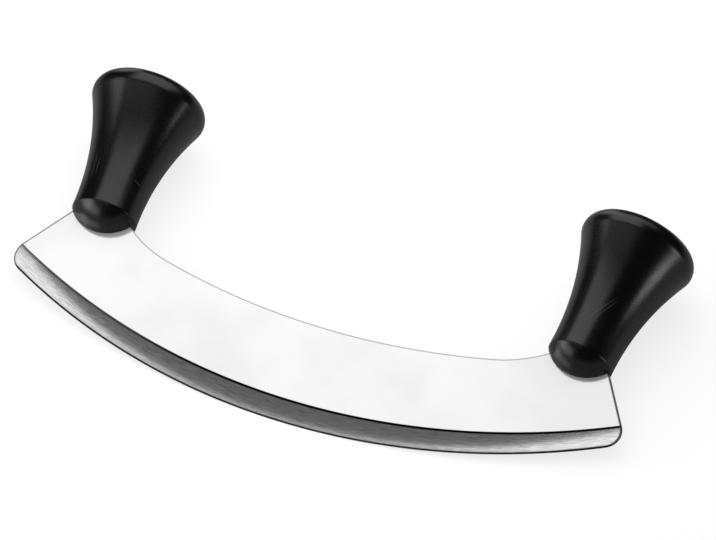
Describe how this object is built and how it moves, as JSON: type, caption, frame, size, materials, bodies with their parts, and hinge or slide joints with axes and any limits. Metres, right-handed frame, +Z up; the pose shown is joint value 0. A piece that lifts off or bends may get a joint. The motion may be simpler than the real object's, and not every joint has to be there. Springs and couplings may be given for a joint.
{
  "type": "mezzaluna",
  "caption": "Curved chopping knife with a hollow-ground steel blade and an upright flared black knob at each end, lying at rest.",
  "frame": {"origin": "on the table under the middle of the knife's outline, with the knife lying on the middle of its sharpened edge and on the foot rings of both handles", "axes": "+X along the blade's chord, +Y from the cutting edge towards the handles, +Z up from the table"},
  "size_m": [0.222, 0.1062, 0.0409],
  "materials": {
    "blade_steel": "satin",
    "handle_plastic": "semi-gloss",
    "cap_plastic": "semi-gloss",
    "spring_steel": "plain"
  },
  "bodies": {
    "root": {"blade": "blade_steel", "left_handle": "handle_plastic", "right_handle": "handle_plastic", "left_cap": "cap_plastic", "right_cap": "cap_plastic", "left_retainer": "spring_steel", "right_retainer": "spring_steel"}
  },
  "joints": []
}
